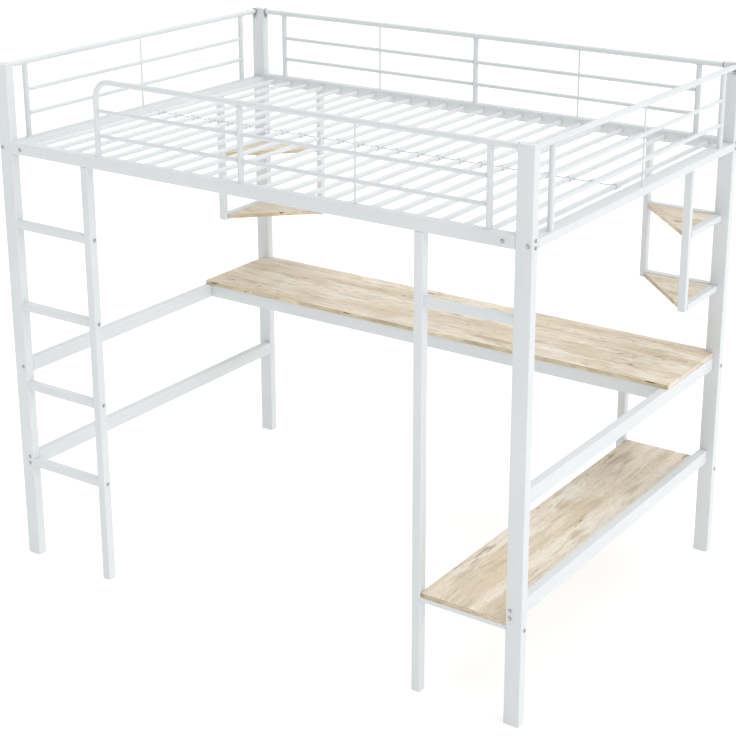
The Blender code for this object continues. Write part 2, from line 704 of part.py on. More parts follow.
def main():
    for obj in list(bpy.data.objects):
        bpy.data.objects.remove(obj)
    steel = painted("white_powder_coat", (0.80, 0.82, 0.83), 0.45)
    wood = painted("oak_print_board", (0.60, 0.47, 0.33), 0.55)
    plastic = painted("white_plastic", (0.85, 0.85, 0.84), 0.5)
    for end, sx in ENDS:
        for side, sy in SIDES:
            post(end, side, sx, sy, steel)
    frame_rails(steel)
    ladder(steel)
    shelf_frames(steel)
    boards(wood)
    long_guard("guard_front", -POST_MID_Y, True, steel)
    long_guard("guard_back", POST_MID_Y, False, steel)
    for end, sx in ENDS:
        end_guard(f"guard_{end}", sx * GUARD_END_X, steel)
    slats(steel)
    slat_strap(plastic)
    corner_units(steel, wood)
    bed = bpy.data.objects.new("loft_bed", None)
    bpy.context.scene.collection.objects.link(bed)
    for obj in bpy.context.scene.objects:
        if obj.type == "MESH":
            obj.parent = bed


main()
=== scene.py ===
"""Looks of a metal loft bed with a desk: detailed pieces, materials, studio and camera.

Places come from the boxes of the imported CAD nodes. The steel tubes are skinned again with finely
rounded edges, and welds, bolts, plugs, tube seats and slat sleeves are added. Units are metres,
X along the bed, Y from its front to its back and Z up.
"""
import math
import random

import bmesh
import bpy
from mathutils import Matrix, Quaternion, Vector


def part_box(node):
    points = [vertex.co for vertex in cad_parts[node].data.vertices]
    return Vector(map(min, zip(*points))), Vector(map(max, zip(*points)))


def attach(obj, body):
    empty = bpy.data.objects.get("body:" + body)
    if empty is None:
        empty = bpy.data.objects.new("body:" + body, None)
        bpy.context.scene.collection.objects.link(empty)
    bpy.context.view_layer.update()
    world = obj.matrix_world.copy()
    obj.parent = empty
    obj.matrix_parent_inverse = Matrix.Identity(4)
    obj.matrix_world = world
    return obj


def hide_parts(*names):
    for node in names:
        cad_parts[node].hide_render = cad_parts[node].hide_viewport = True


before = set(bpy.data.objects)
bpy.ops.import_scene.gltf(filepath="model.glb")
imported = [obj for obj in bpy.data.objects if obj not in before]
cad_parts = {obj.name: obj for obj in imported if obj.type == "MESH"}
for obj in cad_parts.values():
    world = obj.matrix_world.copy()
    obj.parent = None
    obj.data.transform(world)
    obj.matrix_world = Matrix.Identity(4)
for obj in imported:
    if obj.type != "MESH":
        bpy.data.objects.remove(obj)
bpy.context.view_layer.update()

# Rectangular tube: outer corner radius, steps round a corner, and the ease of its cut ends.
CORNER = 0.0022
CORNER_STEPS = 5
END_EASE = 0.0005
# The gap that the CAD leaves between pieces that touch.
GAP = 0.0003

# Posts: the section of the tube, without the bolts that the CAD nodes carry, and the reach of the
# posts' outer faces from the middle of the bed.
POST_X = 0.053
POST_Y = 0.032
HALF_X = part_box("deck_rail_right")[1].x
HALF_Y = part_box("desk_rail_back")[1].y

# Plugs in tubes' ends: the flange's height and inset, its least corner radius, and its softly domed
# face as (share of the height, inset) steps.
PLUG_FLANGE = 0.0022
PLUG_INSET = 0.0004
PLUG_CORNER = 0.0008
PLUG_FACE = ((0, 0.0002), (0.45, 0), (0.75, 0.0004), (0.92, 0.0012), (1, 0.0030), (1, 0.0075))

# Guards: radii, heights of the bars above the floor, and places along each guard, as welded.
GUARD_R = 0.0095
GUARD_BAR_R = 0.0065
GUARD_WIRE_R = 0.003
GUARD_BARS = (1.568, 1.648)
GUARD_LONG_X = 0.8565
GUARD_WIRE_X = 0.41375
GUARD_END_Y = 0.566
GUARD_BEND_R = 0.055
BEND_STEPS = 14
# A bar that ends this near an upright's axis isn't welded to its far side.
BAR_END_NEAR = 0.001
TUBE_SIDES = 28
BAR_SIDES = 20
WIRE_SIDES = 14

# Welded frames: the stiles' width, the height of the bars under the low shelf, the cross bar's
# heights and its place across its node, and the hangers' width and the tops of their bars.
STILE = 0.030
SHELF_BAR_H = 0.0148
RUNG_COUNT = 4
CROSS_BAR_Z = (1.243, 1.267)
CROSS_BAR_Y = (0.0045, 0.0315)
HANGER_WIDE = 0.020
CORNER_BAR_TOPS = (1.2415, 0.9935)

# Weld beads: their size round each kind of member, how deep they sink into what they join, how
# uneven they are, and how far a bead on a round member is set into it.
WELD = 0.0022
TOP_WELD = 0.7 * WELD
GUARD_BAR_WELD = 0.0016
WIRE_WELD = 0.0011
WIRE_BAR_WELD = 0.0010
SHELF_WELD = 0.0016
HANGER_WELD = 0.0014
WELD_SINK = 0.0008
SQUARE_WELD_SINK = 0.0006
WELD_LIFT = 0.0001
WELD_RIPPLE = 0.00035
RIPPLE_WAVES = 3
RIPPLE_TURNS = (3, 9)
BAR_WELD_INSET = 0.0006
WIRE_WELD_INSET = 0.0004
# A bead's section: its steps, its length along the member and where it closes, as shares of its
# size, and its sides where it is round.
WELD_STEPS = 4
SQUARE_WELD_STEPS = 3
WELD_LONG = 1.1
WELD_END = 1.15
SQUARE_WELD_END = 1.05
WELD_SIDES = 24

# Bolts: button heads with a hexagon socket, on a washer.
HEAD_R = 0.0059
HEAD_H = 0.0034
HEAD_SIDES = 36
HEAD_STEPS = 6
HEAD_EDGE = 0.0004
HEAD_FOOT_INSET = 0.0003
HEAD_LIFT = 0.00002
WASHER_R = 0.0067
WASHER_H = 0.0009
WASHER_BORE = 0.003
WASHER_SHAPE = ((0, WASHER_R - 0.0001), (0.0002, WASHER_R), (WASHER_H - 0.0002, WASHER_R),
                (WASHER_H, WASHER_R - 0.0003), (WASHER_H, WASHER_BORE))
SOCKET_ACROSS = 0.0042
SOCKET_MOUTH = 0.66 * SOCKET_ACROSS
SOCKET_DEPTHS = (0.0001, 0.0004, 0.0022)
DRILL_R = 0.0005
DRILL_DEPTH = SOCKET_DEPTHS[-1] + 0.0003
# The bolt's materials, and its bands of faces from the washer up: the head's shoulder, whose near-black
# is painted shade for the shadow round the head, and as the last ones the socket's wall and floor.
ON_HEAD, ON_WASHER, IN_SOCKET, ON_PAINTED_SHADE_RING = range(4)
PAINTED_SHADE_RING_BANDS = (3, 6)
SOCKET_BANDS = 2

# Where the bolts sit: below a guard tube's axis, on the long deck rails as (x, z), below the desk
# rail's middle, and above and below the middle of the deck and lower rails.
SEAT_BOLT_DROP = 0.0185
RAIL_FACE_BOLT = (0.908, 1.478)
DESK_BOLT_DROP = 0.007
DECK_BOLT_STEP = 0.010
LOW_BOLT_STEP = 0.012

# Guard seats: a thin collar round the end of a guard's top tube, and the tab that its bolt clamps.
SEAT_OUT_R = 0.0113
SEAT_DEEP = 0.006
SEAT_PLATE = 0.0015
SEAT_ARC = (-110, 110)
SEAT_STEPS = 30
SEAT_FIT = 0.0002
SEAT_EASE = 0.0004
TAB_R = 0.0065
TAB_STEPS = 16
TAB_EASE = 0.0003
TAB_LAP = 0.0003

# Slats: the tube, its end caps as (distance from the end, radius) steps, and the strap's sleeves,
# whose ends are (distance, inset) steps, and links. A link flares at the sleeves and sags between.
SLAT_COUNT = 24
SLAT_R = 0.008
SLAT_TUBE_R = SLAT_R - 0.0002
SLAT_CAP_R = 0.0089
SLAT_CAP = ((0, SLAT_CAP_R - 0.0012), (0.0004, SLAT_CAP_R - 0.0004), (0.0012, SLAT_CAP_R),
            (0.0094, SLAT_CAP_R), (0.0104, SLAT_CAP_R - 0.0002), (0.0110, SLAT_R + 0.0003),
            (0.0110, SLAT_R - 0.0001), (0, SLAT_R - 0.0001))
SLEEVE_R = 0.0102
SLEEVE_WALL = 0.0016
SLEEVE_COLLAR = ((0, 0.0005), (0.0006, 0), (0.0035, 0), (0.0042, 0.0004))
LINK_R = 0.0017
LINK_SINK = 0.0010
LINK_SAG = 0.0016
LINK_FLARE = 0.8
LINK_FLARE_POWER = 6
LINK_STEPS = 8
LINK_SIDES = 12

# Boards: the ease of their edges and its (inset, rise) steps as shares of it, the radius of their
# corners, the blunt tips of corner boards, and the materials' order.
BOARD_EASE = 0.0009
BOARD_ROUND = ((1, 0), (0.3, 0.3), (0, 1))
BOARD_CORNER = 0.002
BOARD_CORNER_STEPS = 3
BOARD_TIP = 0.006
ON_TOP, UNDER, ALONG_X, ALONG_Y, SLANTED = range(5)

# Tones of the oak print, from pale wood to cracks: on the boards' faces, and on edges that look dark,
# mixed and light. On the right corner boards' slanted edges the dark set is painted shade.
OAK_FACE = ((243, 238, 226), (238, 227, 209), (218, 202, 178), (191, 172, 146), (149, 130, 107),
            (66, 55, 45))
EDGE_DARK = ((226, 212, 188), (208, 193, 167), (182, 165, 137), (150, 133, 106), (116, 99, 76),
             (44, 35, 28))
EDGE_MIXED = ((242, 230, 206), (228, 214, 186), (204, 188, 156), (172, 154, 120), (132, 114, 84),
              (58, 46, 34))
EDGE_LIGHT = ((240, 233, 220), (232, 224, 208), (218, 206, 187), (198, 182, 160), (160, 143, 120),
              (84, 70, 56))

# The print's layers of noise: features to the metre along, across and through the grain, where the
# noise is read, its detail and its distortion.
OAK_NOISE = {
    "ground": ((3.6, 16.0, 7.0), (0, 0, 0), 6.0, 0.0),
    "patch": ((3.2, 16.0, 7.0), (4, 7, 1), 5.0, 0.2),
    "band": ((0.9, 13.0, 5.0), (3, 6, 2), 3.0, 0.0),
    "cluster": ((4.5, 15.0, 6.0), (8, 2, 5), 3.0, 0.2),
    "streak": ((13.0, 110.0, 40.0), (1, 3, 0), 6.0, 0.0),
    "stain": ((5.0, 27.0, 12.0), (2, 9, 4), 5.0, 0.2),
    "fibre": ((42.0, 520.0, 90.0), (2, 5, 0), 3.0, 0.0),
    "knot": ((16.0, 70.0, 24.0), (9, 2, 3), 3.0, 0.3),
    "split": ((20.0, 125.0, 50.0), (6, 8, 2), 3.0, 0.2),
}
# How each layer covers what is under it: the noise where it starts, the noise where it is full, and
# its share at both.
OAK_COVER = {
    "ground": (0.38, 0.58, 0.0, 1.0),
    "patch": (0.48, 0.62, 0.0, 0.95),
    "pale_band": (0.36, 0.46, 0.45, 0.0),
    "dark_band": (0.52, 0.64, 0.0, 0.60),
    "cluster": (0.46, 0.62, 0.0, 1.0),
    "streak": (0.50, 0.66, 0.0, 1.0),
    "stain": (0.54, 0.70, 0.0, 0.85),
    "fibre": (0.45, 0.72, 0.0, 0.40),
    "knot": (0.68, 0.80, 0.0, 0.80),
    "split": (0.695, 0.755, 0.0, 0.92),
}
# The grain's slow wander: its features to the metre and how far it moves the grain across.
GRAIN_WANDER = (4.0, 0.010)
# Knots and cracks gather where streaks cluster, by this much more noise.
CLUSTER_LIFT = 0.07
# Streaks show by the print's fineness, from a base, and by how much more in a cluster.
STREAK_BASE = -0.40
STREAK_FINE = 0.80
STREAK_CLUSTERED = 0.65
# Glued staves: length, width, the seam between them, their offset from row to row, and how much the
# staves' difference and the seams show.
STAVE_LONG = 0.36
STAVE_WIDE = 0.078
STAVE_SEAM = 0.0007
STAVE_OFFSET = 0.41
STAVE_SHARE = 0.42
SEAM_COVER = (0.40, 0.60, 0.05, 0.55)
# The print's relief, against its fibres: cracks lie below them and streaks stand above.
SPLIT_DEPTH = 1.5
STREAK_HEIGHT = 0.8
# How fine the low shelf's print is. The other boards' is 1.
SHELF_FINE = 0.6
# Black dashes in the desk's front edge, as ((x, z), (length, height)), the raggedness of their
# outline, and where they fade out.
EDGE_DASHES = (((-0.932, 0.746), (0.036, 0.005)), ((-0.310, 0.747), (0.032, 0.004)),
               ((0.912, 0.747), (0.042, 0.005)))
DASH_RAGGED = 0.8
DASH_COVER = (1.1, 1.5, 0.9, 0.0)

# Studio: the sky, which brightens towards the horizon, the floor's tones and its own glow, and soft
# lights as (energy, spread in degrees, way).
SKY = 0.60
HORIZON = 1.0
HORIZON_FADE = 0.13
FLOOR_TONES = (0.73, 0.75)
FLOOR_GLOW = 0.35
FLOOR_R = 60.0
FLOOR_SIDES = 96
SOFT_LIGHTS = {"right": (0.98, 60, (-0.80, 0.04, -0.50)), "top": (1.40, 80, (0.0, -0.20, -1.0))}

# Camera: where it stands, its azimuth and elevation in degrees as seen from the bed, and its lens.
CAMERA_PLACE = (3.0918, -4.4824, 2.8100)
CAMERA_AZIMUTH = 34.10
CAMERA_ELEVATION = 18.27
CAMERA_LENS = 83.06
CAMERA_SENSOR = 36.0
CAMERA_SHIFT = (-0.0212, -0.1196)
CAMERA_FAR = 300.0

# For each world axis, the two axes of a section across it and the axis itself.
AXES = {"X": (1, 2, 0), "Y": (2, 0, 1), "Z": (0, 1, 2)}
ENDS = (("left", -1), ("right", 1))
SIDES = (("front", -1), ("back", 1))
SIGN = dict(ENDS + SIDES)
UP = Vector((0, 0, 1))
QUARTER = math.pi / 2
SIXTH = math.pi / 3
SMOOTH_ANGLE = math.radians(32)
BOLT_SMOOTH_ANGLE = math.radians(35)
dice = random.Random(7)


# ---------------------------------------------------------------- shapes

def rounded(wide, tall, radius):
    """A rectangle's outline with rounded corners, anticlockwise, centred on the origin."""
    points = []
    for k, (sx, sy) in enumerate(((1, 1), (-1, 1), (-1, -1), (1, -1))):
        for i in range(CORNER_STEPS + 1):
            a = QUARTER * (k + i / CORNER_STEPS)
            points.append((
                sx * (wide / 2 - radius) + radius * math.cos(a),
                sy * (tall / 2 - radius) + radius * math.sin(a),
            ))
    return points


def corner_edge_shares():
    """How much each point of a rounded outline lies on an edge, from 0 to 1. The powder coat paints its
    edge highlight by it.
    """
    return [math.sin(math.pi * i / CORNER_STEPS) for _ in range(4) for i in range(CORNER_STEPS + 1)]


def circle(radius, sides):
    """A circle's outline, anticlockwise."""
    turns = [2 * math.pi * i / sides for i in range(sides)]
    return [(radius * math.cos(a), radius * math.sin(a)) for a in turns]


def loft(bm, rings, mat=0, caps=True, wrap=False, edge_shares=None):
    """Skins a row of closed rings. With wrap the last ring joins the first, as in a hollow sleeve."""
    layer = bm.verts.layers.float.get("edge") or bm.verts.layers.float.new("edge")
    made = []
    for ring in rings:
        row = [bm.verts.new(point) for point in ring]
        for vert, share in zip(row, edge_shares or []):
            vert[layer] = share
        made.append(row)
    pairs = list(zip(made, made[1:]))
    if wrap:
        pairs.append((made[-1], made[0]))
    faces = []
    for low, high in pairs:
        for i in range(len(low)):
            j = (i + 1) % len(low)
            faces.append(bm.faces.new((low[i], low[j], high[j], high[i])))
    if caps and not wrap:
        faces.append(bm.faces.new(made[0][::-1]))
        faces.append(bm.faces.new(made[-1]))
    for face in faces:
        face.material_index = mat
    return faces


def along_axis(start, axis):
    """A function that takes a section's point and a distance along a world axis to a place."""
    u, v, w = AXES[axis]

    def place(a, b, distance):
        point = Vector(start)
        point[u] += a
        point[v] += b
        point[w] += distance
        return point

    return place


def along_way(start, way):
    """The same for any direction."""
    way = Vector(way).normalized()
    side = way.orthogonal().normalized()
    third = way.cross(side)
    start = Vector(start)
    return lambda a, b, distance: start + side * a + third * b + way * distance


def bar(bm, low, high, axis):
    """A rectangular tube that fills a box, with rounded edges and eased ends."""
    u, v, w = AXES[axis]
    start = [(a + b) / 2 for a, b in zip(low, high)]
    start[w] = low[w]
    wide, tall, length = high[u] - low[u], high[v] - low[v], high[w] - low[w]
    place = along_axis(start, axis)
    rings = []
    for inset, distance in ((END_EASE, 0), (0, END_EASE), (0, length - END_EASE), (END_EASE, length)):
        outline = rounded(wide - 2 * inset, tall - 2 * inset, CORNER - inset)
        rings.append([place(a, b, distance) for a, b in outline])
    loft(bm, rings, edge_shares=corner_edge_shares())


def turned(bm, start, way, profile, sides=TUBE_SIDES, mat=0, caps=True, wrap=False, ripple=0.0):
    """A turned shape, whose profile gives (distance along the axis, radius) pairs.

    Ripple makes its radius uneven, by three waves of random number and phase.
    """
    place = along_way(start, way)
    waves = []
    if ripple:
        waves = [(dice.randint(*RIPPLE_TURNS), dice.uniform(0, 2 * math.pi))
                 for _ in range(RIPPLE_WAVES)]
    rings = []
    for distance, radius in profile:
        ring = []
        for i in range(sides):
            a = 2 * math.pi * i / sides
            r = radius + ripple * sum(math.sin(n * a + phase) for n, phase in waves) / RIPPLE_WAVES
            ring.append(place(r * math.cos(a), r * math.sin(a), distance))
        rings.append(ring)
    return loft(bm, rings, mat, caps, wrap)


def rod(bm, begin, end, radius, sides=TUBE_SIDES):
    """A straight round tube with eased ends."""
    way = Vector(end) - Vector(begin)
    length = way.length
    profile = ((0, radius - END_EASE), (END_EASE, radius), (length - END_EASE, radius),
               (length, radius - END_EASE))
    turned(bm, begin, way, profile, sides)


def bent_rod(bm, points, radius):
    """A round tube along a path that stays in a plane facing Y."""
    rings = []
    for k, point in enumerate(points):
        before = points[max(k - 1, 0)]
        after = points[min(k + 1, len(points) - 1)]
        way = (after - before).normalized()
        side = Vector((0, 1, 0))
        third = way.cross(side)
        rings.append([point + side * a + third * b for a, b in circle(radius, TUBE_SIDES)])
    loft(bm, rings)


def weld(bm, place, way, radius, size=WELD):
    """A fillet bead round the end of a round tube that meets a surface at this place."""
    profile = [(-WELD_SINK, radius - WELD_SINK), (-WELD_SINK, radius + size)]
    for k in range(1, WELD_STEPS + 1):
        a = QUARTER * k / WELD_STEPS
        along = size * (1 - math.cos(a)) * WELD_LONG
        profile.append((along, radius + size * (1 - math.sin(a)) + WELD_LIFT))
    profile.append((size * WELD_END, radius - WELD_SINK))
    turned(bm, place, way, profile, WELD_SIDES, caps=False, wrap=True, ripple=WELD_RIPPLE)


def square_weld(bm, low, high, axis, size, at_high=False):
    """A fillet bead round one end of a rectangular tube."""
    u, v, w = AXES[axis]
    start = [(a + b) / 2 for a, b in zip(low, high)]
    start[w] = high[w] if at_high else low[w]
    sign = -1 if at_high else 1
    place = along_axis(start, axis)
    steps = [(-SQUARE_WELD_SINK, size)]
    for k in range(1, SQUARE_WELD_STEPS + 1):
        a = QUARTER * k / SQUARE_WELD_STEPS
        steps.append((size * (1 - math.cos(a)), size * (1 - math.sin(a)) + WELD_LIFT))
    steps += [(size * SQUARE_WELD_END, -WELD_SINK), (-SQUARE_WELD_SINK, -WELD_SINK)]
    rings = []
    for distance, grow in steps:
        outline = rounded(high[u] - low[u] + 2 * grow, high[v] - low[v] + 2 * grow, CORNER + grow)
        rings.append([place(a, b, sign * distance) for a, b in outline])
    loft(bm, rings, wrap=True)


def mesh_of(name, bm, materials, angle=SMOOTH_ANGLE):
    """A mesh with its normals facing out, smooth but for edges sharper than an angle."""
    bmesh.ops.recalc_face_normals(bm, faces=bm.faces[:])
    mesh = bpy.data.meshes.new(name)
    bm.to_mesh(mesh)
    bm.free()
    for material in materials:
        mesh.materials.append(material)
    mesh.shade_smooth()
    mesh.set_sharp_from_angle(angle=angle)
    return mesh


def add_object(name, data):
    """A new object in the scene."""
    obj = bpy.data.objects.new(name, data)
    bpy.context.scene.collection.objects.link(obj)
    return obj


def piece(name, bm, materials, nodes=()):
    """Makes a piece that rides on the bed, with the given materials, and may replace CAD nodes."""
    obj = add_object(name, mesh_of(name, bm, materials))
    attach(obj, "root")
    if nodes:
        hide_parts(*nodes)


# ---------------------------------------------------------------- materials

def linear(red, green, blue):
    """A colour given as it looks, 0 to 255, as the linear values that Blender takes."""
    parts = [c / 255 for c in (red, green, blue)]
    parts = [c / 12.92 if c <= 0.04045 else ((c + 0.055) / 1.055) ** 2.4 for c in parts]
    return (*parts, 1.0)


def grey(value):
    """A grey of this linear value."""
    return (value, value, value, 1.0)


def node(tree, kind, inputs=None, **settings):
    """Adds a node. An input is a number, a colour or another node's output."""
    made = tree.nodes.new(kind)
    for key, value in settings.items():
        setattr(made, key, value)
    for key, value in (inputs or {}).items():
        if isinstance(value, bpy.types.NodeSocket):
            tree.links.new(value, made.inputs[key])
        else:
            made.inputs[key].default_value = value
    return made


def start_material(name, roughness, **values):
    """A new material, its Principled shader and its object coordinates."""
    mat = bpy.data.materials.new(name)
    mat.use_nodes = True
    tree = mat.node_tree
    shader = tree.nodes["Principled BSDF"]
    shader.inputs["Roughness"].default_value = roughness
    for key, value in values.items():
        shader.inputs[key.replace("_", " ")].default_value = value
    coords = node(tree, "ShaderNodeTexCoord").outputs["Object"]
    return mat, tree, shader, coords


def noise(tree, coords, scale, detail=2.0, stretch=(1, 1, 1), shift=(0, 0, 0), distortion=0.0):
    """Noise of so many features to the metre, stretched along the axes."""
    moved = node(tree, "ShaderNodeMapping", {"Vector": coords, "Location": shift, "Scale": stretch})
    made = node(tree, "ShaderNodeTexNoise", {"Vector": moved.outputs[0], "Scale": scale,
                                             "Detail": detail, "Distortion": distortion})
    return made.outputs["Fac"]


def remap(tree, value, low, high, to_low=0.0, to_high=1.0, **settings):
    """Takes the range low to high to another, clamped."""
    made = node(tree, "ShaderNodeMapRange", {"Value": value, "From Min": low, "From Max": high,
                                             "To Min": to_low, "To Max": to_high}, **settings)
    return made.outputs[0]


def blend_colour(tree, share, first, second):
    """Lays this share of the second colour over the first."""
    made = node(tree, "ShaderNodeMix", {0: share, 6: first, 7: second}, data_type="RGBA")
    return made.outputs[2]


def maths(tree, operation, first, second):
    """Arithmetic on two values."""
    return node(tree, "ShaderNodeMath", {0: first, 1: second}, operation=operation).outputs[0]


def vectors(tree, operation, first, second):
    """Arithmetic on two vectors."""
    return node(tree, "ShaderNodeVectorMath", {0: first, 1: second}, operation=operation).outputs[0]


def finish_material(tree, shader, colour, roughness, height, strength, distance):
    """Joins colour, roughness and a height for the bump, so strong and high in metres, to the shader."""
    tree.links.new(colour, shader.inputs["Base Color"])
    tree.links.new(roughness, shader.inputs["Roughness"])
    bump = node(tree, "ShaderNodeBump", {"Height": height, "Strength": strength, "Distance": distance})
    tree.links.new(bump.outputs[0], shader.inputs["Normal"])


def powder_coat():
    """White powder coat: orange peel, faint clouding, flecks, and edges painted paler, partly a thinner
    film and partly a painted highlight.
    """
    mat, tree, shader, coords = start_material("powder_coat_white", 0.42, Coat_Weight=0.12,
                                               Coat_Roughness=0.22)
    dull, clean = linear(212, 216, 218), linear(217, 221, 222)
    flecked, thin = linear(193, 196, 198), linear(232, 235, 237)
    edge = node(tree, "ShaderNodeAttribute", attribute_name="edge").outputs["Fac"]
    cloud = noise(tree, coords, 3.2, 3.0)
    peel = noise(tree, coords, 900.0, 2.0)
    wave = noise(tree, coords, 130.0, 2.0)
    colour = blend_colour(tree, remap(tree, cloud, 0.3, 0.7), dull, clean)
    fleck = remap(tree, noise(tree, coords, 420.0, 1.0, shift=(3, 1, 2)), 0.70, 0.80, 0.0, 0.10)
    colour = blend_colour(tree, fleck, colour, flecked)
    # Painted highlight on the rounded edges: the edge share, patchy by noise, paints them paler, partly for
    # the thinner film there and partly for the light they catch.
    edge_highlight_patches = remap(tree, noise(tree, coords, 60.0, 4.0), 0.45, 0.75, 0.10, 0.55)
    colour = blend_colour(tree, maths(tree, "MULTIPLY", edge, edge_highlight_patches), colour, thin)
    roughness = remap(tree, wave, 0.3, 0.7, 0.36, 0.50)
    height = maths(tree, "ADD", peel, maths(tree, "MULTIPLY", wave, 1.6))
    finish_material(tree, shader, colour, roughness, height, strength=0.35, distance=0.0001)
    return mat


def oak_nodes(tree, coords, turn, shift, tones, fine=1.0):
    """The colour, height and fibres of a washed-oak print whose grain runs along X after the turn.

    A lower fine gives broader, fainter streaks and cracks.
    """
    placed = node(tree, "ShaderNodeMapping", {"Vector": coords, "Rotation": (0, 0, turn),
                                              "Location": shift}).outputs[0]
    features, reach = GRAIN_WANDER
    wander = node(tree, "ShaderNodeTexNoise", {"Vector": placed, "Scale": features, "Detail": 2.0})
    drift = vectors(tree, "MULTIPLY", wander.outputs["Color"], (0.0, reach, 0.0))
    grain = vectors(tree, "ADD", placed, drift)

    def layer(name, scale=1.0):
        stretch, offset, detail, distortion = OAK_NOISE[name]
        return noise(tree, grain, scale, detail, stretch, offset, distortion)

    def cover(name, value, share=1.0):
        start, full, at_start, at_full = OAK_COVER[name]
        return remap(tree, value, start, full, share * at_start, share * at_full)

    pale, light, middle, brown, dark, crack = [linear(*tone) for tone in tones]
    patch, band, fibre = layer("patch"), layer("band"), layer("fibre")
    cluster = cover("cluster", layer("cluster"))
    grouped = maths(tree, "MULTIPLY", cluster, CLUSTER_LIFT)
    streaky = maths(tree, "MULTIPLY", cluster, STREAK_CLUSTERED)
    streaky = maths(tree, "ADD", streaky, STREAK_FINE * fine + STREAK_BASE)
    streak = maths(tree, "MULTIPLY", cover("streak", layer("streak", fine)), streaky)
    knot = maths(tree, "ADD", layer("knot", fine), grouped)
    split = cover("split", maths(tree, "ADD", layer("split", fine), grouped), fine)
    colour = blend_colour(tree, cover("ground", layer("ground")), pale, light)
    for share, tone in ((cover("patch", patch), middle),
                        (cover("pale_band", band, 1 / fine), pale),
                        (cover("dark_band", band, 1 / fine), middle),
                        (streak, brown),
                        (cover("stain", layer("stain")), brown),
                        (cover("fibre", fibre), dark),
                        (cover("knot", knot), dark),
                        (split, crack)):
        colour = blend_colour(tree, share, colour, tone)
    staves = node(tree, "ShaderNodeTexBrick",
                  {"Vector": placed, "Color1": grey(0.0), "Color2": grey(1.0), "Mortar": grey(0.5),
                   "Scale": 1.0, "Mortar Size": STAVE_SEAM, "Bias": 0.0, "Brick Width": STAVE_LONG,
                   "Row Height": STAVE_WIDE}, offset=STAVE_OFFSET, offset_frequency=2)
    differing = maths(tree, "MULTIPLY", staves.outputs["Color"], STAVE_SHARE)
    colour = blend_colour(tree, differing, colour, middle)
    seam = maths(tree, "MULTIPLY", staves.outputs["Fac"], remap(tree, patch, *SEAM_COVER))
    colour = blend_colour(tree, seam, colour, dark)
    height = maths(tree, "SUBTRACT", fibre, maths(tree, "MULTIPLY", split, SPLIT_DEPTH))
    height = maths(tree, "ADD", height, maths(tree, "MULTIPLY", streak, STREAK_HEIGHT))
    return colour, height, fibre


def oak(name, turn=0.0, shift=(0, 0, 0), fine=1.0):
    """Washed oak print for a board's faces."""
    mat, tree, shader, coords = start_material(name, 0.5)
    colour, height, fibre = oak_nodes(tree, coords, turn, shift, OAK_FACE, fine)
    roughness = remap(tree, fibre, 0.3, 0.7, 0.44, 0.60)
    finish_material(tree, shader, colour, roughness, height, strength=0.35, distance=0.00025)
    return mat


def oak_edge(name, turn, shift, tones, dashes=()):
    """The printed band round a board's edge, with near-black dashes of this place and size."""
    mat, tree, shader, coords = start_material(name, 0.55)
    colour, height, fibre = oak_nodes(tree, coords, turn, shift, tones)
    for (x, z), (long, high) in dashes:
        away = vectors(tree, "SUBTRACT", coords, (x, 0.0, z))
        away = vectors(tree, "MULTIPLY", away, (2 / long, 0.0, 2 / high))
        away = node(tree, "ShaderNodeVectorMath", {0: away}, operation="LENGTH").outputs["Value"]
        ragged = maths(tree, "ADD", away, maths(tree, "MULTIPLY", fibre, DASH_RAGGED))
        colour = blend_colour(tree, remap(tree, ragged, *DASH_COVER), colour, linear(*tones[-1]))
    roughness = remap(tree, fibre, 0.3, 0.7, 0.48, 0.64)
    finish_material(tree, shader, colour, roughness, height, strength=0.3, distance=0.0002)
    return mat


def backing():
    """The plain underside of a board: pale paper foil with a fine tooth."""
    mat, tree, shader, coords = start_material("board_backing", 0.7)
    first, second, pit = linear(206, 196, 180), linear(216, 207, 193), linear(170, 158, 140)
    tooth = noise(tree, coords, 700.0, 3.0)
    cloud = noise(tree, coords, 9.0, 3.0)
    colour = blend_colour(tree, remap(tree, cloud, 0.3, 0.7), first, second)
    colour = blend_colour(tree, remap(tree, tooth, 0.5, 0.8, 0.0, 0.18), colour, pit)
    roughness = remap(tree, tooth, 0.3, 0.7, 0.62, 0.78)
    finish_material(tree, shader, colour, roughness, tooth, strength=0.3, distance=0.0001)
    return mat


def zinc(name, bright, dark, rough, metallic=1.0):
    """Zinc-plated steel: metal with turning marks, a faint haze and dull spots."""
    mat, tree, shader, coords = start_material(name, rough, Metallic=metallic)
    haze = noise(tree, coords, 260.0, 3.0)
    marks = noise(tree, coords, 1.0, 2.0, stretch=(600.0, 600.0, 2600.0))
    colour = blend_colour(tree, remap(tree, haze, 0.35, 0.7), bright, dark)
    roughness = remap(tree, marks, 0.3, 0.7, rough - 0.07, rough + 0.10)
    finish_material(tree, shader, colour, roughness, marks, strength=0.25, distance=0.00004)
    return mat


def moulded(name, first, second, rough):
    """Moulded plastic: a fine spark texture with slight clouding."""
    mat, tree, shader, coords = start_material(name, rough, IOR=1.46)
    spark = noise(tree, coords, 1500.0, 2.0)
    cloud = noise(tree, coords, 45.0, 2.0)
    colour = blend_colour(tree, remap(tree, cloud, 0.3, 0.7), first, second)
    roughness = remap(tree, spark, 0.3, 0.7, rough - 0.06, rough + 0.08)
    finish_material(tree, shader, colour, roughness, spark, strength=0.3, distance=0.00006)
    return mat


COAT = powder_coat()
CAP = moulded("plug_white", linear(216, 219, 220), linear(223, 225, 226), 0.46)
SLEEVE = moulded("sleeve_white", linear(208, 212, 215), linear(217, 221, 223), 0.38)
LINK = moulded("link_grey", linear(188, 192, 195), linear(199, 203, 206), 0.45)
BOLT = zinc("zinc_bolt", (0.86, 0.87, 0.88, 1), (0.72, 0.73, 0.74, 1), 0.34)
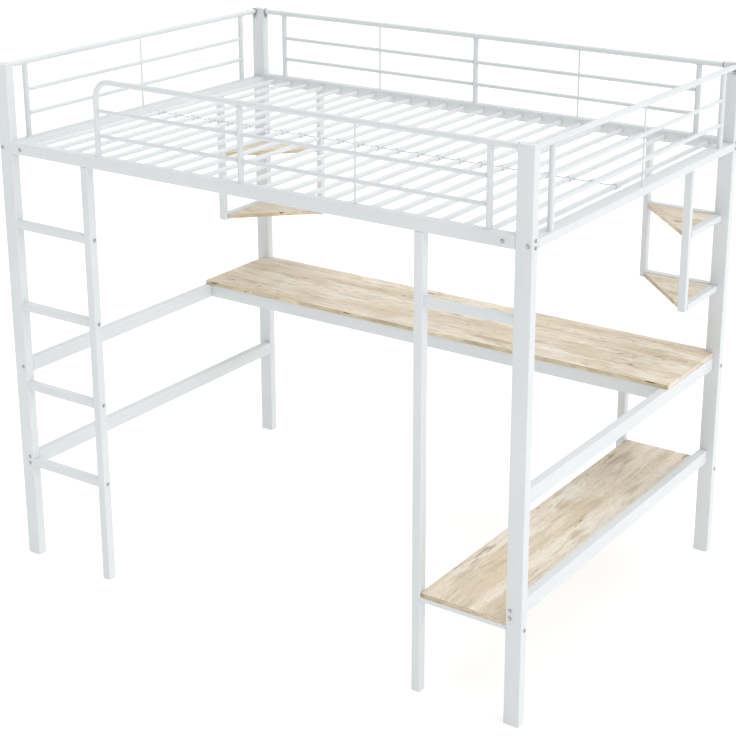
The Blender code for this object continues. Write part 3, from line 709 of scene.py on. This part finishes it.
# Painted shade: the near-black ring on the bolt head's shoulder stands for the shadow round the head.
PAINTED_SHADE_RING = zinc("bolt_painted_shade_ring", (0.13, 0.14, 0.15, 1), (0.08, 0.09, 0.10, 1), 0.50, 0.35)
WASHER = zinc("zinc_washer", (0.66, 0.67, 0.68, 1), (0.50, 0.51, 0.52, 1), 0.42)
SOCKET = zinc("zinc_socket", (0.60, 0.61, 0.62, 1), (0.46, 0.47, 0.48, 1), 0.50)
# The seats' grey is partly the seat's metal and partly painted shadow, for the dark line of shade in the
# gap round the guard tube's end.
SEAT_METAL_AND_SHADE = zinc("seat_zinc_and_painted_shadow", (0.42, 0.43, 0.44, 1), (0.30, 0.31, 0.32, 1), 0.42)
BACKING = backing()


# ---------------------------------------------------------------- steel frame

def post_box(side, end):
    """The corners of a post's tube, without its bolts."""
    low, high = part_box(f"post_{side}_{end}")
    x = sorted(SIGN[end] * reach for reach in (HALF_X - POST_X, HALF_X))
    y = sorted(SIGN[side] * reach for reach in (HALF_Y - POST_Y, HALF_Y))
    return Vector((x[0], y[0], low.z)), Vector((x[1], y[1], high.z))


def straight_bar(node_name, axis):
    """Skins a CAD tube that is one straight bar. Only the bolts reach past the posts' outer faces."""
    low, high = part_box(node_name)
    low.y, high.y = max(low.y, -HALF_Y), min(high.y, HALF_Y)
    bm = bmesh.new()
    bar(bm, low, high, axis)
    piece(f"{node_name}_tube", bm, [COAT], [node_name])


def plug(name, low, high, at_high=False):
    """A moulded plug over the foot or top of an upright tube: a flange with a softly domed face."""
    start = [(a + b) / 2 for a, b in zip(low, high)]
    start[2] = high[2] - PLUG_FLANGE if at_high else low[2] + PLUG_FLANGE
    sign = 1 if at_high else -1
    place = along_axis(start, "Z")
    rings = []
    for share, inset in PLUG_FACE:
        inset += PLUG_INSET
        outline = rounded(high[0] - low[0] - 2 * inset, high[1] - low[1] - 2 * inset,
                          max(CORNER - inset, PLUG_CORNER))
        rings.append([place(a, b, sign * PLUG_FLANGE * share) for a, b in outline])
    bm = bmesh.new()
    loft(bm, rings, edge_shares=corner_edge_shares())
    piece(name, bm, [CAP])


def post(side, end):
    """A corner post with a plug in its top and a foot under it."""
    node_name = f"post_{side}_{end}"
    low, high = post_box(side, end)
    bm = bmesh.new()
    bar(bm, (low.x, low.y, low.z + PLUG_FLANGE), (high.x, high.y, high.z - PLUG_FLANGE), "Z")
    piece(f"{node_name}_tube", bm, [COAT], [node_name])
    plug(f"{node_name}_cap", low, high, at_high=True)
    plug(f"{node_name}_foot", low, high)


def ladder():
    """The ladder's inner stile and its rungs."""
    low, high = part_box("ladder_stile")
    low.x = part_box("ladder_rung_1")[1].x + GAP
    high.x = low.x + STILE
    bm = bmesh.new()
    bar(bm, (low.x, low.y, low.z + PLUG_FLANGE), high, "Z")
    piece("ladder_stile_tube", bm, [COAT], ["ladder_stile"])
    plug("ladder_stile_foot", low, high)
    for number in range(1, RUNG_COUNT + 1):
        straight_bar(f"ladder_rung_{number}", "X")


def shelf_frame(side):
    """An inner frame at the low shelf: a stile with short bars welded to it."""
    node_name = f"shelf_frame_{side}"
    low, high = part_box(node_name)
    front = side == "front"
    near, far = (low.y, low.y + STILE) if front else (high.y - STILE, high.y)
    right = low.x + STILE
    stile_high = (right, far, high.z)
    bm = bmesh.new()
    bar(bm, (low.x, near, low.z + PLUG_FLANGE), stile_high, "Z")
    shelf_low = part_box("low_shelf")[0].z - GAP
    bars = [((right, near, shelf_low - SHELF_BAR_H), (high.x, far, shelf_low))]
    if front:
        cross_y = [low.y + y for y in CROSS_BAR_Y]
        bars.append(((right, cross_y[0], CROSS_BAR_Z[0]), (high.x, cross_y[1], CROSS_BAR_Z[1])))
    for bar_low, bar_high in bars:
        bar(bm, bar_low, bar_high, "X")
        square_weld(bm, bar_low, bar_high, "X", SHELF_WELD)
    piece(f"{node_name}_tubes", bm, [COAT], [node_name])
    plug(f"{node_name}_foot", (low.x, near, low.z), stile_high)


def corner_frames():
    """The hanger frames of the corner shelves: on each end, one against the back and one at the end."""
    for end, sx in ENDS:
        name = f"corner_frame_back_{end}"
        low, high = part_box(name)
        inner = low.x if sx > 0 else high.x
        stile_x = sorted((inner, inner + sx * HANGER_WIDE))
        bar_x = sorted((inner + sx * HANGER_WIDE, high.x if sx > 0 else low.x))
        bm = bmesh.new()
        bar(bm, (stile_x[0], low.y, low.z), (stile_x[1], high.y, high.z), "Z")
        for top in CORNER_BAR_TOPS:
            box = (bar_x[0], low.y, top - HANGER_WIDE), (bar_x[1], high.y, top)
            bar(bm, *box, "X")
            square_weld(bm, *box, "X", HANGER_WELD, at_high=sx < 0)
        piece(f"{name}_tubes", bm, [COAT], [name])
        name = f"corner_frame_end_{end}"
        low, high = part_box(name)
        split = low.y + HANGER_WIDE
        bm = bmesh.new()
        bar(bm, low, (high.x, split, high.z), "Z")
        for top in CORNER_BAR_TOPS:
            box = (low.x, split, top - HANGER_WIDE), (high.x, high.y, top)
            bar(bm, *box, "Y")
            square_weld(bm, *box, "Y", HANGER_WELD)
        piece(f"{name}_tubes", bm, [COAT], [name])


# ---------------------------------------------------------------- guards

def guard_x(end):
    """The plane of an end guard. Its tube is the outermost thing in its node."""
    low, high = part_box(f"guard_{end}")
    return low.x + GUARD_R if end == "left" else high.x - GUARD_R


def guard_member(bm, foot, top):
    """An upright that stands on a rail, welded to it and to the top tube."""
    rod(bm, foot, top, GUARD_R)
    weld(bm, foot, UP, GUARD_R)
    weld(bm, top - UP * GUARD_R, -UP, GUARD_R, TOP_WELD)


def guard(name, place, uprights, wires, top_run, bar_run, bend=None):
    """A guard in one plane. place(t, z) gives a point at a distance t along the guard's rail.

    Its tube and bars run between two distances. At a bend, the tube turns down to the rail.
    """
    low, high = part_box(name)
    rail_z = low.z
    top_z = high.z - SEAT_OUT_R
    way = (place(1, 0) - place(0, 0)).normalized()
    bm = bmesh.new()
    if bend is None:
        rod(bm, place(top_run[0], top_z), place(top_run[1], top_z), GUARD_R)
    else:
        centre = place(bend + GUARD_BEND_R, top_z - GUARD_BEND_R)
        turns = [QUARTER * i / BEND_STEPS for i in range(BEND_STEPS + 1)]
        arc = [centre - way * GUARD_BEND_R * math.cos(a) + UP * GUARD_BEND_R * math.sin(a) for a in turns]
        bent_rod(bm, [place(bend, rail_z), *arc, place(top_run[1], top_z)], GUARD_R)
        weld(bm, place(bend, rail_z), UP, GUARD_R)
    for t in uprights:
        guard_member(bm, place(t, rail_z), place(t, top_z))
    posts = ([bend] if bend is not None else []) + list(uprights)
    side = GUARD_R - BAR_WELD_INSET
    for z in GUARD_BARS:
        rod(bm, place(bar_run[0], z), place(bar_run[1], z), GUARD_BAR_R, BAR_SIDES)
        for t in posts:
            if t > bar_run[0] + BAR_END_NEAR:
                weld(bm, place(t - side, z), -way, GUARD_BAR_R, GUARD_BAR_WELD)
            if t < bar_run[1] - BAR_END_NEAR:
                weld(bm, place(t + side, z), way, GUARD_BAR_R, GUARD_BAR_WELD)
    for t in wires:
        rod(bm, place(t, rail_z), place(t, top_z), GUARD_WIRE_R, WIRE_SIDES)
        weld(bm, place(t, rail_z), UP, GUARD_WIRE_R, WIRE_WELD)
        weld(bm, place(t, top_z - GUARD_R + WIRE_WELD_INSET), -UP, GUARD_WIRE_R, WIRE_WELD)
        for z in GUARD_BARS:
            for sign in (-1, 1):
                side_z = z + sign * (GUARD_BAR_R - WIRE_WELD_INSET)
                weld(bm, place(t, side_z), sign * UP, GUARD_WIRE_R, WIRE_BAR_WELD)
    piece(f"{name}_tubes", bm, [COAT], [name])


def guards():
    """The four guards. The front one bends down to its rail where the ladder leads up."""
    for side, bend in (("front", True), ("back", False)):
        low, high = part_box(f"guard_{side}")
        y = SIGN[side] * (HALF_Y - POST_Y / 2)
        start = low.x + GUARD_R if bend else -GUARD_LONG_X
        uprights = (0, GUARD_LONG_X) if bend else (-GUARD_LONG_X, 0, GUARD_LONG_X)
        wires = (GUARD_WIRE_X,) if bend else (-GUARD_WIRE_X, GUARD_WIRE_X)
        guard(f"guard_{side}", lambda t, z, y=y: Vector((t, y, z)), uprights, wires, (low.x, high.x),
              (start, GUARD_LONG_X), start if bend else None)
    for end, _ in ENDS:
        low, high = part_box(f"guard_{end}")
        x = guard_x(end)
        guard(f"guard_{end}", lambda t, z, x=x: Vector((x, t, z)), (-GUARD_END_Y, GUARD_END_Y), (0,),
              (low.y, high.y), (-GUARD_END_Y, GUARD_END_Y))


# ---------------------------------------------------------------- deck

def slats():
    """The slats with their end caps, and the strap of sleeves and links under the mattress."""
    centres = []
    for number in range(1, SLAT_COUNT + 1):
        name = f"slat_{number:02d}"
        low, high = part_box(name)
        middle = (low + high) / 2
        centres.append(middle)
        bm = bmesh.new()
        rod(bm, (middle.x, low.y, middle.z), (middle.x, high.y, middle.z), SLAT_TUBE_R)
        piece(f"{name}_tube", bm, [COAT], [name])
        bm = bmesh.new()
        for y, sign in ((low.y, 1), (high.y, -1)):
            turned(bm, (middle.x, y, middle.z), (0, sign, 0), SLAT_CAP, caps=False, wrap=True)
        piece(f"{name}_caps", bm, [CAP])
    strap(centres)


def strap(centres):
    """A sleeve round each slat on the centre line, with a thin link from each to the next."""
    low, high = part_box("slat_strap")
    length = high.y - low.y
    inner = SLEEVE_R - SLEEVE_WALL
    collar = [(distance, SLEEVE_R - inset) for distance, inset in SLEEVE_COLLAR]
    far_collar = [(length - distance, radius) for distance, radius in reversed(collar)]
    profile = [(0, inner), *collar, *far_collar, (length, inner)]
    bm = bmesh.new()
    for c in centres:
        turned(bm, (c.x, low.y, c.z), (0, 1, 0), profile, caps=False, wrap=True)
    for here, there in zip(centres, centres[1:]):
        begin, end = here.x + SLEEVE_R - LINK_SINK, there.x - SLEEVE_R + LINK_SINK
        rings = []
        for k in range(LINK_STEPS + 1):
            t = k / LINK_STEPS
            x = begin + (end - begin) * t
            z = here.z - LINK_SAG * math.sin(math.pi * t)
            wide = LINK_R * (1 + LINK_FLARE * abs(2 * t - 1) ** LINK_FLARE_POWER)
            rings.append([Vector((x, a, z + b)) for a, b in circle(wide, LINK_SIDES)])
        loft(bm, rings, mat=1)
    piece("slat_strap_sleeves", bm, [SLEEVE, LINK], ["slat_strap"])


# ---------------------------------------------------------------- boards

def inset_outline(points, inset):
    """An anticlockwise outline moved inwards, mitred at its corners."""
    moved = []
    for i, here in enumerate(points):
        before = Vector(here) - Vector(points[i - 1])
        after = Vector(points[(i + 1) % len(points)]) - Vector(here)
        n1 = Vector((-before.y, before.x)).normalized()
        n2 = Vector((-after.y, after.x)).normalized()
        mitre = (n1 + n2) / (1 + n1.dot(n2))
        moved.append(Vector(here) + mitre * inset)
    return moved


def eased_outline(points):
    """The same outline with each corner cut by a small arc."""
    eased = []
    for i, here in enumerate(points):
        here = Vector(here)
        back = Vector(points[i - 1]) - here
        ahead = Vector(points[(i + 1) % len(points)]) - here
        reach = min(BOARD_CORNER, back.length / 2.2, ahead.length / 2.2)
        first, last = here + back.normalized() * reach, here + ahead.normalized() * reach
        for k in range(BOARD_CORNER_STEPS + 1):
            t = k / BOARD_CORNER_STEPS
            eased.append(first * (1 - t) ** 2 + here * 2 * t * (1 - t) + last * t ** 2)
    return eased


def board(node_name, outline, top_face, edge_faces):
    """A board with eased edges: printed face, edge bands and plain underside."""
    low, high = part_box(node_name)
    outline = eased_outline(outline)
    levels = [(inset, low.z + BOARD_EASE * rise) for inset, rise in BOARD_ROUND]
    levels += [(inset, high.z - BOARD_EASE * rise) for inset, rise in reversed(BOARD_ROUND)]
    rings = [[(p.x, p.y, z) for p in inset_outline(outline, BOARD_EASE * inset)] for inset, z in levels]
    bm = bmesh.new()
    loft(bm, rings)
    bm.normal_update()
    for face in bm.faces:
        if face.normal.z > 0.5:
            face.material_index = ON_TOP
        elif face.normal.z < -0.5:
            face.material_index = UNDER
        elif min(abs(face.normal.x), abs(face.normal.y)) > 0.6 and len(edge_faces) > 2:
            face.material_index = SLANTED
        elif abs(face.normal.y) >= abs(face.normal.x):
            face.material_index = ALONG_X
        else:
            face.material_index = ALONG_Y
    piece(f"{node_name}_panel", bm, [top_face, BACKING, *edge_faces], [node_name])


def boards():
    """The desk top, the low shelf and the four corner boards."""
    edge_x = oak_edge("oak_edge_along_x", 0.0, (0.3, 0.1, 0.7), EDGE_MIXED, EDGE_DASHES)
    edge_y = oak_edge("oak_edge_along_y", QUARTER, (0.9, 0.4, 0.2), EDGE_LIGHT)
    edge_low = oak_edge("oak_edge_low_shelf", 0.0, (0.6, 0.8, 0.1), EDGE_DARK)
    low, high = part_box("desk_top")
    notch_x, notch_y = HALF_X - POST_X - GAP, HALF_Y - POST_Y - GAP
    board("desk_top", [
        (low.x, low.y), (high.x, low.y), (high.x, notch_y), (notch_x, notch_y), (notch_x, high.y),
        (-notch_x, high.y), (-notch_x, notch_y), (low.x, notch_y),
    ], oak("oak_desk"), (edge_x, edge_y))
    low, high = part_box("low_shelf")
    board("low_shelf", [(low.x, low.y), (high.x, low.y), (high.x, high.y), (low.x, high.y)],
          oak("oak_shelf", QUARTER, (0.4, 1.37, 0.0), SHELF_FINE), (edge_low, edge_y))
    # The slanted edges are one band in two tones: the right boards' get the dark set as painted shade,
    # since they face away from the light, and the left boards' the mixed set.
    slanted = {sx: oak_edge(f"oak_edge_slanted_{end}", sx * QUARTER / 2, (0.2, 0.5, 0.4), tones)
               for (end, sx), tones in zip(ENDS, (EDGE_MIXED, EDGE_DARK))}
    for k, level in enumerate(("upper", "lower")):
        for end, sx in ENDS:
            name = f"corner_board_{level}_{end}"
            low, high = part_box(name)
            inner, outer = (low.x, high.x) if sx > 0 else (high.x, low.x)
            outline = [
                (inner, high.y), (inner, high.y - BOARD_TIP), (outer - sx * BOARD_TIP, low.y),
                (outer, low.y), (outer, notch_y), (sx * notch_x, notch_y), (sx * notch_x, high.y),
            ]
            outline = outline if sx > 0 else outline[::-1]
            board(name, outline, oak(f"oak_{level}_{end}", 0.0, (0.7 * k + 0.2, 0.9 * sx, 0.3)),
                  (edge_x, edge_y, slanted[sx]))


# ---------------------------------------------------------------- fittings

def bolt_mesh():
    """A button-head bolt on its washer, standing along +Z from the surface it clamps."""
    bm = bmesh.new()
    turned(bm, (0, 0, 0), UP, WASHER_SHAPE, mat=ON_WASHER)
    place = along_way((0, 0, WASHER_H), UP)
    rings = [[place(a, b, HEAD_LIFT) for a, b in circle(HEAD_R - HEAD_FOOT_INSET, HEAD_SIDES)]]
    for k in range(HEAD_STEPS + 1):
        a = QUARTER * k / HEAD_STEPS
        radius = SOCKET_MOUTH + (HEAD_R - SOCKET_MOUTH) * math.cos(a)
        height = HEAD_EDGE + (HEAD_H - HEAD_EDGE) * math.sin(a)
        rings.append([place(x, y, height) for x, y in circle(radius, HEAD_SIDES)])
    for depth in SOCKET_DEPTHS:
        ring = []
        for i in range(HEAD_SIDES):
            a = 2 * math.pi * i / HEAD_SIDES
            flat = SOCKET_ACROSS / 2 / math.cos((a + SIXTH / 2) % SIXTH - SIXTH / 2)
            ring.append(place(flat * math.cos(a), flat * math.sin(a), HEAD_H - depth))
        rings.append(ring)
    rings.append([place(a, b, HEAD_H - DRILL_DEPTH) for a, b in circle(DRILL_R, HEAD_SIDES)])
    *bands, _, floor = loft(bm, rings, mat=ON_HEAD)
    first, last = PAINTED_SHADE_RING_BANDS
    for face in bands[HEAD_SIDES * first:HEAD_SIDES * last]:
        face.material_index = ON_PAINTED_SHADE_RING
    for face in [*bands[-HEAD_SIDES * SOCKET_BANDS:], floor]:
        face.material_index = IN_SOCKET
    return mesh_of("bolt", bm, (BOLT, WASHER, SOCKET, PAINTED_SHADE_RING), BOLT_SMOOTH_ANGLE)


BOLT_MESH = bolt_mesh()


def bolt(name, place, way):
    """A bolt whose head stands on a surface and points along way. Its socket has any turn."""
    obj = add_object(name, BOLT_MESH)
    obj.rotation_mode = "QUATERNION"
    turn = Vector(way).to_track_quat("Z", "Y")
    obj.rotation_quaternion = turn @ Quaternion(UP, dice.uniform(0, SIXTH))
    obj.location = place
    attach(obj, "root")


def centre_of(name):
    """The middle of a node's box."""
    low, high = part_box(name)
    return (low + high) / 2


def bolts():
    """The bolts that hold rails, rungs and shelf bars to the uprights."""
    for end, sx in ENDS:
        beam, low_beam = centre_of(f"middle_rail_{end}"), centre_of(f"lower_rail_{end}")
        for side, sy in SIDES:
            heights = [("deck", guard_x(end), centre_of(f"deck_rail_{end}").z),
                       ("lower_a", beam.x, low_beam.z - LOW_BOLT_STEP),
                       ("lower_b", beam.x, low_beam.z + LOW_BOLT_STEP)]
            if (side, end) != ("front", "right"):
                heights.append(("middle", beam.x, beam.z))
            for label, x, z in heights:
                bolt(f"bolt_{label}_{side}_{end}", (x, sy * HALF_Y, z), (0, sy, 0))
            rail_z = centre_of(f"deck_rail_{side}").z
            levels = [("rail_a", rail_z - DECK_BOLT_STEP), ("rail_b", rail_z + DECK_BOLT_STEP)]
            if side == "back":
                levels.append(("desk", centre_of("desk_rail_back").z - DESK_BOLT_DROP))
            if end == "right":
                levels.append(("shelf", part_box("low_shelf")[0].z - GAP - SHELF_BAR_H / 2))
            for label, z in levels:
                bolt(f"bolt_{label}_{side}_{end}", (sx * HALF_X, sy * (HALF_Y - POST_Y / 2), z), (sx, 0, 0))
            x, z = RAIL_FACE_BOLT
            bolt(f"bolt_rail_face_{side}_{end}", (sx * x, sy * HALF_Y, z), (0, sy, 0))
    for number in range(1, RUNG_COUNT + 1):
        rung = centre_of(f"ladder_rung_{number}")
        stile_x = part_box(f"ladder_rung_{number}")[1].x + GAP + STILE
        bolt(f"bolt_rung_{number}", (stile_x, rung.y, rung.z), (1, 0, 0))


def tube_seat(name, place, way, inward):
    """The seat of a guard tube's end: a thin collar on the bed's side of it, and a bolted tab below."""
    place, way, inward = Vector(place), Vector(way), Vector(inward)

    def at(across, up, deep):
        return place + inward * across + UP * up + way * deep

    bm = bmesh.new()
    first, last = [math.radians(angle) for angle in SEAT_ARC]
    inner = GUARD_R - SEAT_FIT
    section = ((inner, 0), (SEAT_OUT_R, 0), (SEAT_OUT_R, SEAT_DEEP - SEAT_EASE),
               (SEAT_OUT_R - SEAT_EASE, SEAT_DEEP), (inner, SEAT_DEEP))
    rings = []
    for k in range(SEAT_STEPS + 1):
        a = first + (last - first) * k / SEAT_STEPS
        rings.append([at(r * math.cos(a), r * math.sin(a), deep) for r, deep in section])
    loft(bm, rings)
    turns = [math.pi * (1 + i / TAB_STEPS) for i in range(TAB_STEPS + 1)]
    rings = []
    for deep, inset in ((0, 0), (SEAT_PLATE - TAB_EASE, 0), (SEAT_PLATE, TAB_EASE)):
        r = TAB_R - inset
        outline = [(r * math.cos(a), -SEAT_BOLT_DROP + r * math.sin(a)) for a in turns]
        outline += [(r, -GUARD_R + TAB_LAP), (-r, -GUARD_R + TAB_LAP)]
        rings.append([at(across, up, deep) for across, up in outline])
    loft(bm, rings)
    piece(f"{name}_seat", bm, [SEAT_METAL_AND_SHADE])
    bolt(f"{name}_seat_bolt", at(0, -SEAT_BOLT_DROP, SEAT_PLATE), way)


def tube_seats():
    """The seats where the guards' top tubes meet the posts."""
    for end, sx in ENDS:
        for side, sy in SIDES:
            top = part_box(f"guard_{end}")[1].z - SEAT_OUT_R
            face_y = sy * (HALF_Y - POST_Y)
            tube_seat(f"guard_{end}_{side}", (guard_x(end), face_y, top), (0, -sy, 0), (-sx, 0, 0))
            if (side, end) != ("front", "left"):
                face_x = sx * (HALF_X - POST_X)
                tube_seat(f"guard_{side}_{end}", (face_x, sy * (HALF_Y - POST_Y / 2), top), (-sx, 0, 0),
                          (0, -sy, 0))


# ---------------------------------------------------------------- studio

def studio():
    """A pale floor that glows faintly, a plain sky and two broad, soft lights."""
    mat, tree, shader, coords = start_material("floor_pale", 0.9)
    first, second = FLOOR_TONES
    colour = blend_colour(tree, noise(tree, coords, 2.0, 3.0), grey(first), grey(second))
    tree.links.new(colour, shader.inputs["Base Color"])
    shader.inputs["Specular IOR Level"].default_value = 0.0
    shader.inputs["Emission Color"].default_value = grey(1.0)
    shader.inputs["Emission Strength"].default_value = FLOOR_GLOW
    bm = bmesh.new()
    bmesh.ops.create_circle(bm, cap_ends=True, segments=FLOOR_SIDES, radius=FLOOR_R)
    mesh = bpy.data.meshes.new("floor")
    bm.to_mesh(mesh)
    bm.free()
    mesh.materials.append(mat)
    add_object("floor", mesh)

    world = bpy.data.worlds.new("studio")
    world.use_nodes = True
    tree = world.node_tree
    background = tree.nodes["Background"]
    background.inputs["Color"].default_value = grey(1.0)
    look = node(tree, "ShaderNodeTexCoord").outputs["Generated"]
    height = node(tree, "ShaderNodeSeparateXYZ", {"Vector": look}).outputs["Z"]
    strength = remap(tree, height, 0.0, HORIZON_FADE, HORIZON, SKY, interpolation_type="SMOOTHSTEP")
    tree.links.new(strength, background.inputs["Strength"])
    bpy.context.scene.world = world
    for name, (energy, spread, way) in SOFT_LIGHTS.items():
        lamp = bpy.data.lights.new(name, "SUN")
        lamp.energy = energy
        lamp.angle = math.radians(spread)
        light = add_object(name, lamp)
        light.rotation_mode = "QUATERNION"
        light.rotation_quaternion = Vector(way).to_track_quat("-Z", "Y")


def camera():
    """The photograph's viewing angle."""
    azimuth, elevation = math.radians(CAMERA_AZIMUTH), math.radians(CAMERA_ELEVATION)
    back = Vector((math.sin(azimuth) * math.cos(elevation), -math.cos(azimuth) * math.cos(elevation),
                   math.sin(elevation)))
    data = bpy.data.cameras.new("camera")
    data.sensor_width = CAMERA_SENSOR
    data.lens = CAMERA_LENS
    data.shift_x, data.shift_y = CAMERA_SHIFT
    data.clip_end = CAMERA_FAR
    obj = add_object("camera", data)
    obj.location = CAMERA_PLACE
    obj.rotation_mode = "QUATERNION"
    obj.rotation_quaternion = (-back).to_track_quat("-Z", "Y")
    bpy.context.scene.camera = obj


def main():
    """Makes everything."""
    bpy.context.scene.view_settings.view_transform = "Standard"
    for end, _ in ENDS:
        for side, _ in SIDES:
            post(side, end)
        for level in ("deck", "middle", "lower"):
            straight_bar(f"{level}_rail_{end}", "Y")
    for side, _ in SIDES:
        straight_bar(f"deck_rail_{side}", "X")
        straight_bar(f"desk_rail_{side}", "X")
        shelf_frame(side)
    ladder()
    corner_frames()
    guards()
    slats()
    boards()
    bolts()
    tube_seats()
    studio()
    camera()


main()
